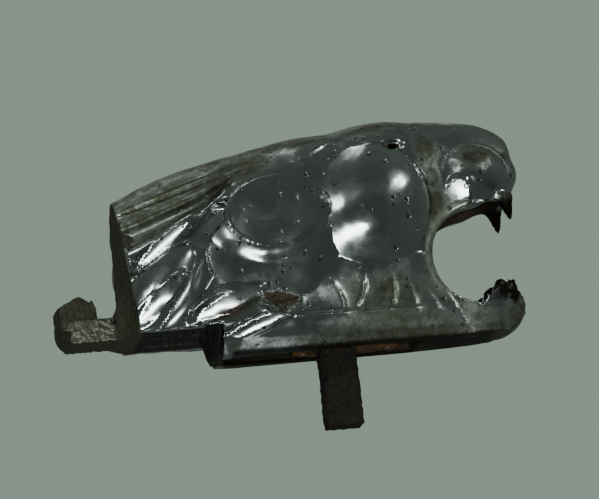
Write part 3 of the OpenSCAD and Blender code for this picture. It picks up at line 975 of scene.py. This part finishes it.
def make_head():
    low = (REAR_X - 1.6, -26, -1.6)
    high = (NOSE_X + 2, 26, CROWN_Z + 2)
    obj, p, hollow = mesh_object("plated_head", plated, low, high, HEAD_VOXEL)
    x, y, z = p[:, 0], np.abs(p[:, 1]), p[:, 2]
    inside = step((-body(x, y, z) - 1.2) / 0.8) * step((26 - x) / 2)
    add_mask(obj, "grime", grime_on_head(x, y, z, hollow) + inside)
    add_mask(obj, "corrosion", corrosion_on_head(x, y, z) + 0.8 * inside)
    # Near-black mask: dirt on the fangs, teeth and palate, painted shade in the face's pits, darker
    # along the underside.
    add_mask(obj, "dirt_and_shade", dirt_and_shade_on_head(x, y, z))
    # Painted highlight round the mouth's back and on the jaw's corner.
    add_mask(obj, "worn", highlight_on_head(x, z))
    # Painted reflection: a reddish streak across the leaf-shaped lock.
    add_mask(obj, "red_reflection", 0.7 * bump(oval(x, z, *RED_REFLECTION) / 1.4))
    obj.data.materials.append(chrome_material())
    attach(obj, "root")
    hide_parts("head_shell")


def make_base():
    low = (LUG_X - 1, -22, -1)
    high = (STEP_X + 4, 22, FRAME_HI[2] + 4)
    obj, p, _ = mesh_object("rear_casting", base, low, high, BASE_VOXEL)
    x, y, z = p[:, 0], np.abs(p[:, 1]), p[:, 2]
    side = step((y - 8.3) / 0.4) * step((-63 - x) / 3)
    add_mask(obj, "filed", side * step((16.5 - z) / 2))
    (rear, _, _), (front, wall, roof) = POCKET
    in_pocket = step((roof + 0.8 - z) / 0.6) * step((x - rear + 0.8) / 0.6)
    in_pocket = in_pocket * step((front + 0.8 - x) / 0.6) * step((wall + 0.5 - y) / 0.5)
    # Painted shade: the mask under marks the casting below the step's top and inside the pocket,
    # which the casting paints near black.
    add_mask(obj, "under", step((STEP_Z + 1.2 - z) / 1.0) * step((x + 60) / 2) + in_pocket)
    obj.data.materials.append(casting_material())
    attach(obj, "root")
    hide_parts("base_frame")


def make_rusty(name, node, slot, field, tones):
    """A rusty piece meshed from its field."""
    low, high = node_mm(node)
    obj, _, _ = mesh_object(name, field, low - RUST_MARGIN, high + RUST_MARGIN, RUST_VOXEL)
    obj.data.materials.append(rust_material(slot, *tones))
    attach(obj, "root")
    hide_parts(node)


def dress(node, material):
    """Gives a CAD node, kept as it is, a better material."""
    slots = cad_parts[node].data.materials
    slots.clear()
    slots.append(material)


# Dark, middle and light tone of each rust, and of the dirt on the web
POST_RUST = ((0.006, 0.004, 0.002), (0.017, 0.011, 0.006), (0.04, 0.025, 0.013))
BRIDGE_RUST = ((0.05, 0.022, 0.008), (0.22, 0.095, 0.03), (0.35, 0.19, 0.08))
WEB_DIRT = ((0.006, 0.004, 0.003), (0.012, 0.009, 0.006), (0.03, 0.024, 0.016))

make_head()
make_base()
make_rusty("rusty_post", "mounting_post", "post_rust", post, POST_RUST)
make_rusty("rusty_bridge", "post_bridge", "bridge_rust", bridge, BRIDGE_RUST)
dress("centre_web", rust_material("web_dirt", *WEB_DIRT))
for node in ("post_pin", "bridge_rivets", "web_pins", "frame_screws"):
    dress(node, steel_material())


# ---------------------------------------------------------------- stage

LIGHT_TINT = (0.93, 1.0, 0.97)
LIGHT_AIM = Vector((-0.01, 0, 0.03))
# Each soft box: place toward the picture's right and up at an angle from the camera, distance,
# width and height, and power
LIGHTS = {"window": ((0.0, -1.0, 2), 1.3, (0.56, 0.22), 7.0),
          "lamp": ((0.7, 0.7, 73), 1.2, (0.12, 0.12), 1.2),
          "left": ((-0.50, 0.8, 48), 1.4, (0.16, 0.30), 1.7),
          "upper_left": ((-0.36, 0.93, 110), 1.5, (0.50, 0.30), 1.7),
          "under": ((0.3, -0.9, 88), 1.5, (1.1, 0.25), 0.9),
          "behind": ((-0.3, 0.6, 150), 1.8, (1.2, 0.9), 1.3)}

# The room that the plating mirrors: level over how far a direction turns to the camera's side
ROOM = [(0.0, 0.11), (0.2, 0.11), (0.38, 0.13), (0.5, 0.11), (0.64, 0.095), (0.8, 0.09),
        (1.0, 0.07)]
ROOM_TINT = (0.86, 1.0, 0.9)
BACKDROP = (0.25, 0.325, 0.262, 1)

FLOOR_Z = -2.4
FLOOR_SIZE = 40


def toward(right, up, angle):
    """The direction angle degrees off the camera's, toward right and up in the picture."""
    side = (RIGHT * right + UP * up).normalized()
    return BACK * math.cos(math.radians(angle)) + side * math.sin(math.radians(angle))


def soft_box(name, place, distance, size, power):
    """A rectangular light that the camera does not see."""
    direction = toward(*place)
    data = bpy.data.lights.new(name, "AREA")
    data.shape = "RECTANGLE"
    data.size, data.size_y = size
    data.energy = power
    data.color = LIGHT_TINT
    light = bpy.data.objects.new(name, data)
    light.visible_camera = False
    light.location = LIGHT_AIM + direction * distance
    light.rotation_euler = (-direction).to_track_quat("-Z", "Y").to_euler()
    bpy.context.scene.collection.objects.link(light)


def make_world():
    """A plain pale backdrop for the camera, and a dim, patchy room for everything else."""
    world = bpy.data.worlds.new("world")
    bpy.context.scene.world = world
    world.use_nodes = True
    tree = world.node_tree
    coord = tree.nodes.new("ShaderNodeTexCoord")
    facing = tree.nodes.new("ShaderNodeVectorMath")
    facing.operation = "DOT_PRODUCT"
    tree.links.new(coord.outputs["Generated"], facing.inputs[0])
    facing.inputs[1].default_value = BACK * 0.5
    patches = tree.nodes.new("ShaderNodeTexNoise")
    tree.links.new(coord.outputs["Generated"], patches.inputs["Vector"])
    patches.inputs["Scale"].default_value = 2.2
    patches.inputs["Detail"].default_value = 2.0
    shift = tree.nodes.new("ShaderNodeMath")
    shift.operation = "MULTIPLY_ADD"
    tree.links.new(patches.outputs["Fac"], shift.inputs[0])
    shift.inputs[1].default_value = 0.15
    tree.links.new(facing.outputs["Value"], shift.inputs[2])
    centred = tree.nodes.new("ShaderNodeMath")
    tree.links.new(shift.outputs[0], centred.inputs[0])
    centred.inputs[1].default_value = 0.425
    ramp = tree.nodes.new("ShaderNodeValToRGB")
    tree.links.new(centred.outputs[0], ramp.inputs[0])
    while len(ramp.color_ramp.elements) < len(ROOM):
        ramp.color_ramp.elements.new(0.5)
    for element, (place, level) in zip(ramp.color_ramp.elements, ROOM):
        element.position = place
        element.color = (*(level * part for part in ROOM_TINT), 1)
    path = tree.nodes.new("ShaderNodeLightPath")
    seen = tree.nodes.new("ShaderNodeMix")
    seen.data_type = "RGBA"
    tree.links.new(path.outputs["Is Camera Ray"], seen.inputs[0])
    tree.links.new(ramp.outputs[0], seen.inputs[6])
    seen.inputs[7].default_value = BACKDROP
    tree.links.new(seen.outputs[2], tree.nodes["Background"].inputs["Color"])


def make_floor():
    """Pale floor that catches the shadow; the plating does not mirror it."""
    bpy.ops.mesh.primitive_plane_add(size=FLOOR_SIZE, location=(0, 0, FLOOR_Z))
    floor = bpy.context.object
    floor.name = "floor"
    floor.visible_glossy = False
    n = Nodes("floor")
    floor.data.materials.append(n.finish(color=(0.62, 0.70, 0.63), roughness=0.9))


make_world()
make_floor()
for name, setting in LIGHTS.items():
    soft_box(name, *setting)
